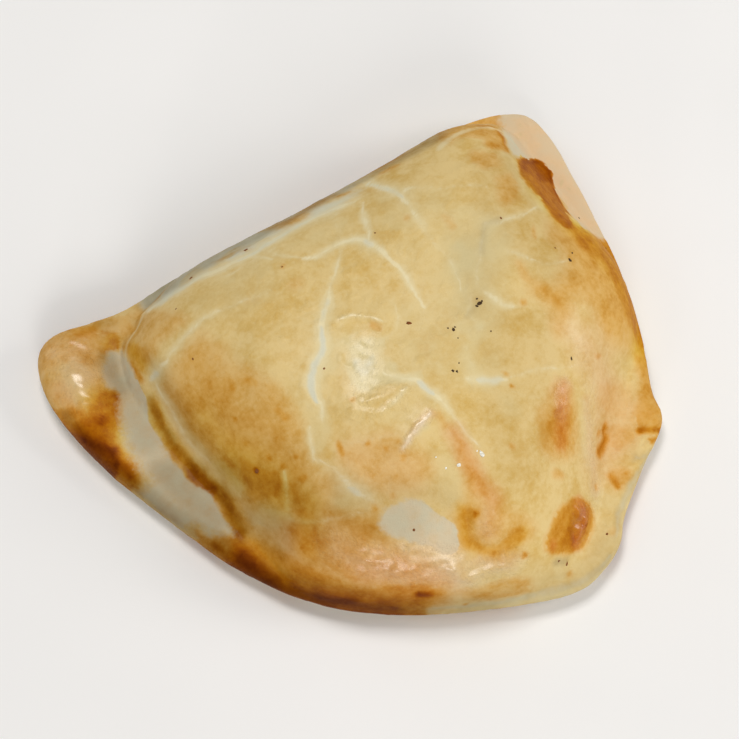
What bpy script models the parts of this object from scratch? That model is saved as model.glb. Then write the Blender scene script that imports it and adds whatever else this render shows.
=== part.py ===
# Apple empanada: a round of pastry folded over its filling, sealed round the open side and baked.
# One closed solid lying flat. +X runs along the folded edge, +Y points from the sealed belly to
# the fold and +Z is up. The origin is on the surface it lies on, under the middle of its box.

import math

import bmesh
import bpy
import numpy as np
from mathutils import Vector, noise

MM = 0.001

# Driving dimensions, in millimetres.
CROWN_HEIGHT = 36.0  # top of the filled pocket
CROWN = Vector((2.0, 8.0))  # where the rounds of faces start, seen from above
CROWN_RADIUS = 50.0  # the rounds about the crown start as circles of this size
POCKET_DEPTH = 31.0  # smoothed distance from the crease at which the pocket is at its full height
POCKET_SHAPE = 1.75  # 1 for straight sides, more for a rounder top
WAVE_HEIGHT = 0.8  # slow unevenness of the baked pastry
WAVE_LENGTH = 22.0
WAVE_START = Vector((3.1, 7.7, 0.4))  # which stretch of the noise the waves are read from
CALM_RIM = 0.10  # share of the way in from the rim over which waves and relief come in

# The rim, anticlockwise from the fold's right-hand end. Each row is one place on it:
# x and y of the widest line, the sealed border's width and height, the height of the widest
# line, how far the resting face is set in, how steep the pocket's side starts there (less is
# steeper) and the softness of the crease at its foot.
RIM = (
    # x, y, border, border_top, level, foot, steep, crease
    (68.5, 47.5, 8.0, 7.5, 4.5, 4.0, 0.85, 3.5),  # right tip
    (66.0, 56.0, 7.0, 7.5, 5.0, 4.5, 0.80, 3.0),
    (57.0, 59.0, 3.0, 7.5, 8.0, 6.5, 0.65, 1.0),
    (42.5, 58.5, 0.0, 9.0, 11.0, 8.0, 0.60, 0.3),  # folded edge
    (21.0, 56.0, 0.0, 9.0, 12.0, 9.0, 0.60, 0.3),
    (-5.0, 54.5, 0.0, 9.0, 11.5, 9.0, 0.60, 0.3),
    (-28.0, 54.0, 0.5, 9.0, 10.5, 8.5, 0.62, 0.5),
    (-44.0, 53.0, 4.0, 9.0, 7.5, 6.0, 0.70, 1.5),  # neck beside the left tip
    (-54.0, 54.0, 12.0, 9.5, 6.0, 5.0, 0.80, 3.0),
    (-63.5, 55.0, 18.0, 9.5, 5.5, 4.5, 0.85, 4.0),
    (-68.5, 50.0, 20.0, 9.5, 5.0, 4.0, 0.85, 4.5),  # left tip
    (-69.5, 38.0, 19.0, 9.5, 5.0, 4.0, 0.90, 5.0),
    (-65.0, 21.0, 15.5, 9.0, 4.5, 4.0, 0.92, 5.0),
    (-57.0, 3.0, 11.0, 8.5, 4.0, 3.5, 0.92, 5.0),  # open sealed border
    (-48.0, -14.5, 6.5, 8.0, 4.5, 4.0, 0.86, 4.0),
    (-35.5, -30.5, 0.6, 8.0, 5.5, 5.0, 0.76, 0.8),
    (-19.0, -42.0, 0.2, 8.0, 6.0, 5.5, 0.72, 0.4),  # belly, border turned under
    (0.0, -50.0, 0.3, 8.0, 6.0, 5.5, 0.73, 0.5),
    (18.0, -55.0, 3.0, 8.0, 5.0, 4.5, 0.82, 4.0),
    (28.0, -53.0, 6.5, 8.0, 4.5, 4.0, 0.90, 7.0),  # blunt corner
    (34.0, -49.0, 6.5, 8.0, 4.5, 4.0, 0.90, 7.0),
    (37.5, -44.5, 6.0, 7.5, 4.5, 3.5, 0.90, 7.0),  # notch
    (46.5, -36.5, 8.0, 7.5, 4.5, 4.0, 0.90, 7.0),
    (56.5, -28.5, 9.0, 8.5, 5.0, 4.0, 0.90, 7.0),  # crimped knob
    (58.0, -20.5, 6.0, 9.0, 5.5, 4.5, 0.85, 5.0),
    (62.5, -7.0, 0.6, 8.5, 7.0, 5.5, 0.74, 1.0),
    (66.0, 10.0, 0.4, 8.5, 7.0, 5.5, 0.72, 0.8),
    (68.0, 30.0, 5.0, 8.0, 5.0, 4.5, 0.80, 2.5),
)
# Swellings and dents of the upper surface: x, y, half length, half width, angle, height.
SWELLS = (
    (-62.5, 39.5, 10.0, 7.0, 80.0, 2.6),  # pillow of the left tip
    (-52.0, 41.0, 6.0, 3.2, 75.0, -1.6),  # valley beside it
    (-9.0, -30.0, 8.0, 5.0, -27.0, -0.6),  # bare oval
    (6.0, -35.5, 4.5, 3.5, -20.0, 0.9),  # round boss on the belly
    (4.5, -41.0, 6.0, 2.0, -10.0, -0.6),  # hollow below it
    (24.5, -42.0, 5.0, 3.6, 60.0, 1.3),  # blister
    (31.0, -21.0, 8.0, 3.6, 62.0, 0.9),  # long bump
    (20.0, -13.0, 9.0, 4.0, 20.0, -0.5),
    (41.0, -27.5, 4.0, 2.2, 65.0, -1.4),  # finger dents in the crimped border
    (42.5, -36.0, 3.2, 2.2, 20.0, -1.2),
    (52.0, -24.5, 4.0, 3.0, 30.0, 0.9),
    (47.0, -32.5, 3.2, 2.6, 30.0, 0.8),
    (63.0, 43.0, 6.0, 3.0, 80.0, 0.7),  # right tip
    (58.5, 31.0, 10.0, 2.2, 105.0, -0.9),  # crease below it
    (-30.0, 10.0, 16.0, 9.0, 60.0, 1.0),
    (26.0, 32.0, 18.0, 9.0, 10.0, 0.9),
    (2.0, 30.0, 9.0, 14.0, 0.0, -0.7),
)
# Ridges and furrows pinched up in the pastry: height, half width and the places they pass.
RIDGES = (
    (0.5, 3.0, ((-6.0, 17.0), (-0.5, 18.5), (3.5, 14.5))),  # arch on the crown
    (0.5, 3.0, ((-11.0, -2.0), (-5.0, -3.5), (0.0, -3.0))),
    (0.6, 2.8, ((-6.0, -15.5), (-1.0, -13.5), (3.7, -10.5))),
    (0.9, 3.2, ((47.5, 4.0), (46.5, -6.0), (43.0, -18.0), (38.0, -28.5), (31.0, -39.5))),
    (0.7, 3.0, ((-14.0, -40.5), (-1.0, -44.0), (9.0, -46.5), (19.0, -47.5))),  # belly's lower edge
    (-1.8, 1.9, ((47.0, -29.5), (52.0, -28.8), (57.5, -29.5))),  # tuck in the knob
    (-0.5, 3.0, ((-25.5, 31.0), (-30.0, 13.0), (-33.0, -1.0))),
    (0.6, 3.0, ((-44.0, 26.0), (-42.0, 12.0), (-36.5, -1.0), (-28.0, -13.0))),
)
SPAN_STEPS = 5  # sections between two rows of the rim
GRID_SHARE = 0.42  # how much of the crown the even grid covers before the rounds begin
POCKET_ROUNDS = 16  # rounds of faces from that grid to the crease
LEAST_BORDER = 2.5  # the outer band that has its own rounds, also where no border shows
BORDER_ROUNDS = (0.22, 0.42, 0.60, 0.75, 0.87, 0.955, 1.0)  # shares of that band
EDGE_ROUND = 8.0  # width of the rounding at the border's outer edge
EDGE_POWER = 4  # 2 for a round edge, more for a flatter top
UNDER_ROUNDS = (25, 50, 72)  # degrees round the lower edge, from the widest line to the foot
CREASE_STEPS = 8  # corners of the crease line between two rows of the rim
HALVINGS = 24  # of a section, in the search for where it crosses a line


def around(turn):
    """The rim's row at a turn from 0 to 1, on a smooth curve through the rows."""
    place = (turn % 1.0) * len(RIM)
    start = int(place) % len(RIM)
    t = place - int(place)
    before, here, there, after = (RIM[(start + k) % len(RIM)] for k in (-1, 0, 1, 2))
    weights = (
        (-t + 2 * t**2 - t**3) / 2,
        (2 - 5 * t**2 + 3 * t**3) / 2,
        (t + 4 * t**2 - 3 * t**3) / 2,
        (-(t**2) + t**3) / 2,
    )
    rows = zip(before, here, there, after)
    return [sum(w * v for w, v in zip(weights, row)) for row in rows]


def ease(value):
    """A smooth step from 0 to 1."""
    value = min(1.0, max(0.0, value))
    return value * value * (3 - 2 * value)


def plan(share, turn):
    """The point seen from above at a share of the way from the crown to the rim."""
    rim = Vector(around(turn)[:2]) - CROWN
    start = math.atan2(RIM[0][1] - CROWN.y, RIM[0][0] - CROWN.x)
    angle = start + math.tau * turn
    circle = CROWN_RADIUS * Vector((math.cos(angle), math.sin(angle)))
    return CROWN + share * circle.lerp(rim, ease(share))


def crease_line():
    """The closed line, seen from above, where the pocket meets the sealed border."""
    corners = []
    count = CREASE_STEPS * len(RIM)
    for i in range(count):
        x, y, border = around(i / count)[:3]
        rim = Vector((x, y))
        corners.append(rim + (CROWN - rim).normalized() * border)
    return np.array(corners)


def is_inside(point, line):
    """Whether a point seen from above lies inside a closed line."""
    after = np.roll(line, -1, axis=0)
    crosses = (line[:, 1] > point.y) != (after[:, 1] > point.y)
    step = after - line
    at = line[crosses, 0] + (point.y - line[crosses, 1]) / step[crosses, 1] * step[crosses, 0]
    return (at > point.x).sum() % 2 == 1


def share_where(turn, goes_on):
    """The share of the way out at which a test along one section stops being true."""
    low, high = GRID_SHARE, 1.0
    for _ in range(HALVINGS):
        middle = (low + high) / 2
        if goes_on(plan(middle, turn)):
            low = middle
        else:
            high = middle
    return low


def smooth_distance(point, line):
    """Distance in from a closed line, rounded off in the middle. It sums 1 / distance cubed
    along each side of the line, which has no ridges where two sides are equally near."""
    after = np.roll(line, -1, axis=0)
    side = after - line
    length = np.linalg.norm(side, axis=1)
    along = side / length[:, None]
    first = line - np.array(point)
    start = (first * along).sum(axis=1)
    end = start + length
    off = np.maximum((first**2).sum(axis=1) - start**2, 1e-6)
    total = ((end / np.sqrt(off + end**2) - start / np.sqrt(off + start**2)) / off).sum()
    return math.sqrt(2 / total)


def side_at(point):
    """Steepness and crease softness at a point, from the rim's rows by how near they are."""
    rows = np.array(RIM)
    weights = 1 / (((rows[:, :2] - np.array(point)) ** 2).sum(axis=1) + 1) ** 2
    return (weights[:, None] * rows[:, 6:8]).sum(axis=0) / weights.sum()


def height(share, turn, line):
    """Height of the upper surface: the sealed border with the filled pocket on top of it."""
    x, y, _, border_top, level = around(turn)[:5]
    point = plan(share, turn)
    out = (Vector((x, y)) - point).length
    rounding = min(1.0, out / EDGE_ROUND)
    rise = level + max(0.0, border_top - level) * math.sqrt(1 - (1 - rounding) ** EDGE_POWER)
    if is_inside(point, line):
        steep, crease = side_at(point)
        inside = smooth_distance(point, line)
        inside = min(1.0, inside * (1 - math.exp(-inside / crease)) / POCKET_DEPTH)
        rise += (CROWN_HEIGHT - rise) * (1 - (1 - inside) ** POCKET_SHAPE) ** steep
    return rise


def wave(point):
    """Slow swells over the pastry."""
    place = Vector((point.x, point.y, 0)) / WAVE_LENGTH
    return WAVE_HEIGHT * noise.noise(place + WAVE_START)


def relief(point):
    """Swellings, dents and ridges at a point seen from above."""
    total = 0.0
    for x, y, half_length, half_width, degrees, tall in SWELLS:
        angle = math.radians(degrees)
        along = Vector((math.cos(angle), math.sin(angle)))
        off = point - Vector((x, y))
        long = off.dot(along) / half_length
        wide = off.dot(along.orthogonal()) / half_width
        total += tall * math.exp(-(long**2) - wide**2)
    for tall, half_width, places in RIDGES:
        nearest = math.inf
        for start, end in zip(places, places[1:]):
            start, end = Vector(start), Vector(end)
            side = end - start
            at = min(1.0, max(0.0, (point - start).dot(side) / side.length_squared))
            nearest = min(nearest, (point - start - at * side).length)
        total += tall * math.exp(-((nearest / half_width) ** 2))
    return total


def top_point(share, turn, line):
    """A point of the upper surface."""
    point = plan(share, turn)
    lift = (wave(point) + relief(point)) * ease((1 - share) / CALM_RIM)
    return Vector((point.x, point.y, height(share, turn, line) + lift))


def under_point(degrees, turn):
    """A point on the rounded lower edge, from the widest line in to the resting face."""
    x, y, _, _, level, foot = around(turn)[:6]
    rim = Vector((x, y))
    inward = (CROWN - rim).normalized()
    angle = math.radians(degrees)
    point = rim + inward * foot * (1 - math.cos(angle))
    return Vector((point.x, point.y, level * (1 - math.sin(angle))))


def crown_grid(bm, sections, line):
    """A square grid rounded into a disc over the crown, its edge one vertex for each section."""
    side = sections // 4
    grid = bmesh.ops.create_grid(bm, x_segments=side, y_segments=side, size=1.0)
    for vert in grid["verts"]:
        u, v = vert.co.x, vert.co.y
        disc = Vector((u * math.sqrt(1 - v * v / 2), v * math.sqrt(1 - u * u / 2)))
        turn = (math.atan2(disc.y, disc.x) / math.tau) % 1.0 if disc.length else 0.0
        vert.co = top_point(GRID_SHARE * disc.length, turn, line)


def edge_in_order(bm, line):
    """The open edge's vertices, anticlockwise from the one nearest turn 0."""
    around_crown = [v for v in bm.verts if v.is_boundary]
    first = top_point(GRID_SHARE, 0.0, line)

    def angle(vert):
        place = vert.co.xy - CROWN
        return math.atan2(place.y, place.x)

    around_crown.sort(key=angle)
    start = min(range(len(around_crown)), key=lambda i: (around_crown[i].co - first).length)
    return around_crown[start:] + around_crown[:start]


def add_round(bm, edge, points):
    """One more round of faces, drawn out from the open edge to the points given."""
    open_edges = [e for e in bm.edges if e.is_boundary]
    drawn = set(bmesh.ops.extrude_edge_only(bm, edges=open_edges)["geom"])
    ring = []
    for vert, point in zip(edge, points):
        after = next(e.other_vert(vert) for e in vert.link_edges if e.other_vert(vert) in drawn)
        after.co = point
        ring.append(after)
    return ring


def empanada_mesh():
    """The whole solid: crown, pocket, sealed border, lower edge and resting face."""
    bm = bmesh.new()
    sections = SPAN_STEPS * len(RIM)
    turns = [i / sections for i in range(sections)]
    line = crease_line()
    crown_grid(bm, sections, line)
    edge = edge_in_order(bm, line)
    bands = []
    for turn in turns:
        rim = Vector(around(turn)[:2])
        crease = share_where(turn, lambda point: is_inside(point, line))
        band = share_where(turn, lambda point: (point - rim).length > LEAST_BORDER)
        bands.append(min(crease, band))
    for k in range(1, POCKET_ROUNDS + 1):
        share = 1 - (1 - k / POCKET_ROUNDS) ** 1.5  # closer together towards the crease
        points = [
            top_point(GRID_SHARE + (band - GRID_SHARE) * share, turn, line)
            for band, turn in zip(bands, turns)
        ]
        edge = add_round(bm, edge, points)
    for share in BORDER_ROUNDS:
        points = [
            top_point(band + (1 - band) * share, turn, line) for band, turn in zip(bands, turns)
        ]
        edge = add_round(bm, edge, points)
    for degrees in (*UNDER_ROUNDS, 90):
        edge = add_round(bm, edge, [under_point(degrees, turn) for turn in turns])
    bmesh.ops.holes_fill(bm, edges=[e for e in bm.edges if e.is_boundary], sides=len(edge))
    bmesh.ops.recalc_face_normals(bm, faces=bm.faces)
    mesh = bpy.data.meshes.new("empanada")
    bm.to_mesh(mesh)
    bm.free()
    return mesh


def pastry():
    """Glazed crust, baked golden."""
    material = bpy.data.materials.new("baked_pastry")
    material.use_nodes = True
    shader = material.node_tree.nodes["Principled BSDF"]
    shader.inputs["Base Color"].default_value = (0.67, 0.42, 0.17, 1.0)
    shader.inputs["Roughness"].default_value = 0.45
    return material


def main():
    for obj in list(bpy.data.objects):
        bpy.data.objects.remove(obj)
    mesh = empanada_mesh()
    low = Vector(min(v.co[k] for v in mesh.vertices) for k in range(3))
    high = Vector(max(v.co[k] for v in mesh.vertices) for k in range(3))
    middle = Vector(((low.x + high.x) / 2, (low.y + high.y) / 2, low.z))
    for vert in mesh.vertices:
        vert.co = (vert.co - middle) * MM
    mesh.shade_smooth()
    mesh.materials.append(pastry())
    obj = bpy.data.objects.new("empanada", mesh)
    bpy.context.scene.collection.objects.link(obj)
    print("size in mm", high - low, "faces", len(mesh.polygons))


main()
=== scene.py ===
import math
import random
from functools import partial

import bmesh
import bpy
import numpy as np
from mathutils import Matrix, Vector, noise
from mathutils.bvhtree import BVHTree


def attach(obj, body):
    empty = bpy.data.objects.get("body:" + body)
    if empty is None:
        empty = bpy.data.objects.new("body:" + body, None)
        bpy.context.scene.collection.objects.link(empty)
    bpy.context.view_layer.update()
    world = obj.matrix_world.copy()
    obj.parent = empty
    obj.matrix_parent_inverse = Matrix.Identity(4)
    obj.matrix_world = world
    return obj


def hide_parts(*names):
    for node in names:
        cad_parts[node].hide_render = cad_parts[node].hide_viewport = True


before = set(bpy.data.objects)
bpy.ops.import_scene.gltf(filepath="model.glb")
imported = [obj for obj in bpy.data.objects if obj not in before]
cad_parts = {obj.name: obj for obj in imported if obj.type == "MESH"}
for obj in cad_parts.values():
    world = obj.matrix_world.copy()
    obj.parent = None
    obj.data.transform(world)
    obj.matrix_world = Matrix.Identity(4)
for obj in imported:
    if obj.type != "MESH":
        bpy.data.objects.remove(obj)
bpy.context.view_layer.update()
mm = 0.001
print("frame loaded")


# Camera: it stands where the photograph was taken from
camera = {
    "azimuth": -26.8,
    "elevation": 70.0,
    "lens": 100.0,
    "distance": 477 * mm,
    "target": Vector((0.69, 9.96, 12.0)) * mm,
    "side": 739,  # the photograph is square, in pixels
    "sensor": 36.0,  # mm
}


def directionFrom(azimuth, elevation):
    turn, rise = math.radians(azimuth), math.radians(elevation)
    flat = math.cos(rise)
    return Vector((math.sin(turn) * flat, -math.cos(turn) * flat, math.sin(rise)))


cameraBack = directionFrom(camera["azimuth"], camera["elevation"])
cameraRight = Vector((0, 0, 1)).cross(cameraBack).normalized()
cameraUp = cameraBack.cross(cameraRight)
cameraPlace = camera["target"] + cameraBack * camera["distance"]
photoMiddle = camera["side"] / 2
photoFocal = camera["side"] * camera["lens"] / camera["sensor"]  # in pixels


def standAt(name, data, place, back):  # a camera or lamp there, with its back that way
    thing = bpy.data.objects.new(name, data)
    thing.location = place
    thing.rotation_mode = "QUATERNION"
    thing.rotation_quaternion = (-back).to_track_quat("-Z", "Y")
    bpy.context.collection.objects.link(thing)
    return thing


def makeCamera():
    data = bpy.data.cameras.new("photoCamera")
    data.lens = camera["lens"]
    data.clip_start, data.clip_end = 0.01, 10
    bpy.context.scene.camera = standAt("photoCamera", data, cameraPlace, cameraBack)


# Crust: a finer copy of the solid, which then gets its small relief
crust = {
    "weld": 0.02 * mm,
    "baseInsets": (1.5 * mm, 4 * mm, 9 * mm),
    "smoothing": 2,
    "pathStep": 4,  # photo pixels between the places on a path
    "outside": 0.2,  # m from the middle, where a look from the side starts
    "wanders": ((4.5 * mm, 0.55 * mm), (1.6 * mm, 0.32 * mm)),  # how far a painted edge strays from its line
    "wanderSeed": 9,
}


def copyOfSolid(node):
    bm = bmesh.new()
    bm.from_mesh(node.data)
    bmesh.ops.remove_doubles(bm, verts=bm.verts, dist=crust["weld"])
    base = [f for f in bm.faces if f.calc_center_median().z < 0.05 * mm and f.normal.z < -0.99]
    bmesh.ops.dissolve_faces(bm, faces=base, use_verts=False)
    bmesh.ops.join_triangles(
        bm, faces=bm.faces, angle_face_threshold=math.radians(45), angle_shape_threshold=math.radians(75)
    )
    for width in crust["baseInsets"]:
        base = [max(bm.faces, key=lambda face: len(face.verts))]
        bmesh.ops.inset_individual(bm, faces=base, thickness=width)
    bmesh.ops.recalc_face_normals(bm, faces=bm.faces)
    return bm


def meshPiece(name, bm):
    mesh = bpy.data.meshes.new(name)
    bm.to_mesh(mesh)
    bm.free()
    piece = bpy.data.objects.new(name, mesh)
    bpy.context.collection.objects.link(piece)
    for face in mesh.polygons:
        face.use_smooth = True
    return piece


def applySubdivision(piece, levels):
    smooth = piece.modifiers.new("smooth", "SUBSURF")
    smooth.levels = smooth.render_levels = levels
    graph = bpy.context.evaluated_depsgraph_get()
    finer = bpy.data.meshes.new_from_object(piece.evaluated_get(graph))
    piece.modifiers.clear()
    coarse, piece.data = piece.data, finer
    bpy.data.meshes.remove(coarse)


def treeOf(points):
    return BVHTree.FromPolygons(
        [Vector(point) for point in points], [face.vertices for face in crustData.polygons]
    )


def vectorsOf(kind):
    values = np.zeros(pointCount * 3)
    crustData.vertices.foreach_get(kind, values)
    return values.reshape(-1, 3)


crustPiece = meshPiece("crust", copyOfSolid(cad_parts["empanada"]))
applySubdivision(crustPiece, crust["smoothing"])
crustData = crustPiece.data
pointCount = len(crustData.vertices)
places = vectorsOf("co")
normals = vectorsOf("normal")
crustTree = treeOf(places)
print("crust copied:", pointCount, "points")


# Places on the crust, found from a pixel of the photograph or from the side
def rayThrough(x, y):
    ray = cameraRight * ((x - photoMiddle) / photoFocal) - cameraUp * ((y - photoMiddle) / photoFocal)
    return (ray - cameraBack).normalized()


def seenAt(x, y):
    ray = rayThrough(x, y)
    place = crustTree.ray_cast(cameraPlace, ray)[0]
    if place is None:  # just past the outline
        place = crustTree.find_nearest(cameraPlace + ray * (camera["distance"] - camera["target"].z))[0]
    return place


def aroundAt(azimuth, height):
    out = directionFrom(azimuth, 0)
    return crustTree.ray_cast(out * crust["outside"] + Vector((0, 0, height * mm)), -out)[0]


def pointsOf(path):  # "x,y x,y" as pairs of numbers
    return [tuple(float(part) for part in pair.split(",")) for pair in path.split()]


def strokesIn(group):
    for strokes in group.values():
        for first, second, path in strokes:
            yield first, second, pointsOf(path)


def curveThrough(corners):
    line = [corners[0]]
    for i in range(len(corners) - 1):
        before, start = corners[max(i - 1, 0)], corners[i]
        end, after = corners[i + 1], corners[min(i + 2, len(corners) - 1)]
        parts = max(1, round(math.dist(start, end) / crust["pathStep"]))
        for part in range(1, parts + 1):
            t = part / parts
            point = []
            for a, b, c, d in zip(before, start, end, after):
                bend = (2 * a - 5 * b + 4 * c - d) * t * t + (3 * b - 3 * c + d - a) * t ** 3
                point.append(b + ((c - a) * t + bend) / 2)
            line.append(tuple(point))
    return line


def onCrust(corners, finder=seenAt):
    return np.array([finder(*point) for point in curveThrough(corners)])


noise.seed_set(crust["wanderSeed"])
strayed = places.copy()
for length, amount in crust["wanders"]:
    strayed += amount * np.array([noise.noise_vector(Vector(place) / length) for place in places])


def smoothStep(value, low, high):
    share = np.clip((value - low) / (high - low), 0, 1)
    return share * share * (3 - 2 * share)


def nearestOn(line, points):
    nearest = np.full(len(points), np.inf)
    along = np.zeros(len(points))
    if len(line) == 1:
        return np.linalg.norm(points - line[0], axis=1), along + 0.5
    for i, (start, end) in enumerate(zip(line, line[1:])):
        side = end - start
        share = np.clip((points - start) @ side / max(side @ side, 1e-12), 0, 1)
        gap = np.linalg.norm(points - start - share[:, None] * side, axis=1)
        closer = gap < nearest
        nearest = np.where(closer, gap, nearest)
        along = np.where(closer, (i + share) / (len(line) - 1), along)
    return nearest, along


def strokeOver(line, width, core, taper=0.0):  # 1 along the line, 0.5 at the width, 0 further off
    reach = width * mm * 2.2
    near = np.all((strayed > line.min(0) - reach) & (strayed < line.max(0) + reach), axis=1)
    gap, along = nearestOn(line, strayed[near])
    local = width * mm * (1 - taper * np.abs(2 * along - 1) ** 3)
    cover = np.zeros(pointCount)
    cover[near] = 1 - smoothStep(gap / local, core, 2 - core)
    return cover


def gather(group, finder=seenAt, core=0.3, taper=0.0, widen=1.0):
    total = np.zeros(pointCount)
    for width, strength, corners in strokesIn(group):
        total += (strength * strokeOver(onCrust(corners, finder), width * widen, core, taper)) ** 3
    return total ** (1 / 3)


def inPhoto(points):
    offset = points - np.array(cameraPlace)
    depth = -offset @ np.array(cameraBack)
    x = photoMiddle + photoFocal * (offset @ np.array(cameraRight)) / depth
    y = photoMiddle - photoFocal * (offset @ np.array(cameraUp)) / depth
    return x, y


def insideOutline(corners, x, y):
    inside = np.zeros(len(x), bool)
    for (ax, ay), (bx, by) in zip(corners, corners[1:] + corners[:1]):
        if ay == by:
            continue
        crossing = (ay > y) != (by > y)
        inside ^= crossing & (x < (bx - ax) * (y - ay) / (by - ay) + ax)
    return inside


# What is painted or pressed on: each stroke or outline is two settings and a path of photo points "x,y x,y",
# and they are gathered by the place they are on
# Stretch cracks: pale lines where the dough opened under the glaze, and painted highlights along the pleat
# ridge and partly along the arch and swirl ridges, each width mm, strength, path
cracksAndGlints = {
    "shoulder": [
        (1.5, 0.95, "143,313 152,307 163,299 174,291 186,285 198,278 210,273 224,267 238,261 250,255 "
            "262,247 276,239 290,231 305,223 318,216 332,210 346,205 360,199"),
        (0.9, 0.5, "346,205 358,199 370,194"), (0.7, 0.42, "215,281 232,273 248,264 262,257 275,248"),
        (0.9, 0.4, "336,214 338,226 340,239"),
    ],
    "main": [
        (0.75, 0.5, "263,250 275,253 290,257 304,259"),
        (1.15, 0.85, "304,259 316,257 326,251 336,245 348,240 358,239 367,242 376,248 386,256 394,263 "
            "402,270 408,279 412,289 418,298 426,307"),
    ],
    "upper": [
        (1.1, 0.95, "366,182 376,186 388,189 398,194 404,201 411,207"),
        (0.9, 0.62, "411,207 417,216 423,226 430,236"),
        (0.8, 0.42, "430,236 437,246 446,254 453,264 458,278 461,290"),
        (0.8, 0.6, "403,197 406,189 414,187"),
        (0.7, 0.38, "414,187 430,187 446,188 462,186 480,186 492,190"),
    ],
    "fold": [
        (0.7, 0.14, "400,161 420,153 440,146 458,142 478,139 498,138"),
        (0.7, 0.55, "150,302 170,287 195,272 222,257 250,243 268,233"),
    ],
    "link": [(1, 0.68, "362,199 364,212 367,226 369,240")],
    "long": [
        (0.9, 0.48, "343,250 339,262 335,274 332,284 330,294"),
        (1.7, 1, "330,292 327,306 322,320 322,335 323,347 319,358 314,367 312,378 313,390 319,402"),
        (0.9, 0.6, "319,402 322,412 323,422"), (0.7, 0.62, "309,424 310,440 313,460"),
    ],
    "lower": [
        (0.9, 0.52, "313,458 324,462 333,470 342,480"), (1.2, 0.85, "342,480 352,488 362,495 371,502"),
    ],
    "faint": [
        (0.9, 0.58, "285,472 286,484 287,500 288,518"),
        (0.7, 0.44, "288,520 302,522 318,521 334,518 350,514 366,510 376,506"),
    ],
    "arch": [
        (0.8, 0.34, "396,304 398,318 395,328 387,336"),
        (0.6, 0.55, "338,319 350,316 362,316 374,319 381,323"),
    ],
    "diagonal": [
        (1.15, 0.85, "384,374 400,377 415,380 425,387 434,395 444,403 451,410"),
        (0.8, 0.52, "451,410 458,421 466,431 474,441 480,449"),
    ],
    "level": [
        (1.1, 0.72, "466,379 480,380 495,380 508,380"), (0.9, 0.22, "466,344 469,358 472,372"),
        (0.8, 0.38, "508,379 525,373 545,369 566,366 580,364"), (0.7, 0.26, "506,390 522,395 540,398"),
    ],
    "short": [(0.95, 0.66, "484,292 493,298 503,303 515,306")],
    "tip": [
        (0.85, 0.62, "487,224 500,222 514,217 528,211 541,207"),
        (0.8, 0.5, "508,250 520,254 532,260 546,264 558,262 566,259"),
    ],
    "grey": [
        (0.9, 0.4, "500,219 488,224 484,236 482,248 481,262"),
        (0.9, 0.36, "479,266 477,282 472,300 466,316"), (0.8, 0.3, "470,318 482,328"),
    ],
    "left": [
        (1.2, 0.72, "149,382 154,374 160,368 167,362"),
        (1.2, 0.52, "165,363 171,352 180,342 190,331 202,320"), (1, 0.48, "202,320 214,313 226,307"),
        (1.2, 0.34, "226,307 240,303 254,297 270,291"),
    ],
    "beside the glaze": [
        (1.6, 0.52, "157,386 165,401 174,415 183,431 192,445"),
        (2, 0.46, "194,447 206,459 218,472 230,485 241,497"),
    ],
    # painted highlight along the pleat ridge
    "pleat": [(0.9, 0.85, "403,449 410,438 419,428 430,414")],
    "swirl": [(0.7, 0.42, "384,410 392,404 400,396 408,388")],
    "middle": [(0.5, 0.24, "345,443 360,442 380,439 396,436")],
}

crackCores = {  # the bluish middle of the widest cracks, and the raw dough along the rims
    "long": [
        (0.8, 1, "321,326 323,340 322,350 318,360 313,368 311,380 312,392 317,402"),
        (0.6, 0.5, "328,297 325,310 321,322"),
    ],
    "upper": [(0.6, 0.6, "368,183 380,187 395,192 403,199")],
    "fold": [
        (1, 0.6, "238,261 250,255 262,247 276,239 290,231 305,223 318,216"), (0.8, 0.5, "325,213 340,207"),
    ],
    "knot": [(0.9, 0.6, "364,240 373,247")],
    "diagonal": [(0.7, 0.8, "418,382 426,388 434,395")],
    "lower": [(0.8, 0.6, "348,487 360,495")],
    "left": [(0.8, 0.6, "158,371 150,381")],
    "level": [(0.9, 0.6, "476,380 504,380")],
    "centre": [(1.6, 0.5, "356,360 364,372 374,356")],
    "foot": [(1.2, 0.42, "425,609 455,607 485,604 515,599 545,593 572,585 594,573 610,556")],
    "right": [(0.9, 0.4, "617,536 618,516 625,499 634,482 644,463 653,448")],
}

rawDough = {  # bluish dough along the fold, each strength, softness mm, outline on the photograph
    "fold": [
        (1, 1.4, "148,311 156,307 168,298 180,290 192,282 204,275 216,268 228,261 240,255 252,249 266,242 "
            "262,218 235,226 200,246 170,264 145,284 140,302"),
        (0.7, 1.3, "266,242 290,230 310,220 330,210 350,201 362,195 352,166 320,180 262,218"),
    ],
}

backCracks = {  # azimuth round the pastry in degrees, height in mm
    "long": [(1.2, 0.9, "150,31 156,26 160,20 168,15 171,9")],
    "branch": [(0.9, 0.7, "160,20 150,16 143,11")],
    "left": [(1.1, 0.8, "195,30 203,24 214,20 222,14 232,11"), (0.9, 0.7, "203,24 200,18 206,12 204,7")],
    "right": [(1, 0.8, "129,17 134,20 142,26")],
}

# Bare dough: places that the egg glaze missed, as outlines on the photograph
bareDough = {
    "fold strip": (
        "110,352 103,368 106,385 119,391 121,420 128,445 138,466 150,483 140,492 160,512 180,527 188,523 "
        "200,524 212,534 233,535 231,529 222,516 216,506 213,497 204,490 192,483 180,472 172,461 165,448 "
        "158,436 150,423 147,411 147,400 142,388 133,371 122,353"
    ),
    "oval": (
        "381,517 384,511 392,506 402,501 412,498 421,500 430,507 440,514 448,520 454,526 458,536 459,548 "
        "453,556 441,554 429,549 418,545 407,539 396,537 386,533 379,526"
    ),
    "right tip": (
        "499,112 503,130 508,145 514,155 524,158 535,159 544,163 552,172 553,182 557,194 566,205 573,216 "
        "583,226 597,236 607,240 640,240 560,100"
    ),
}

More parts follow.
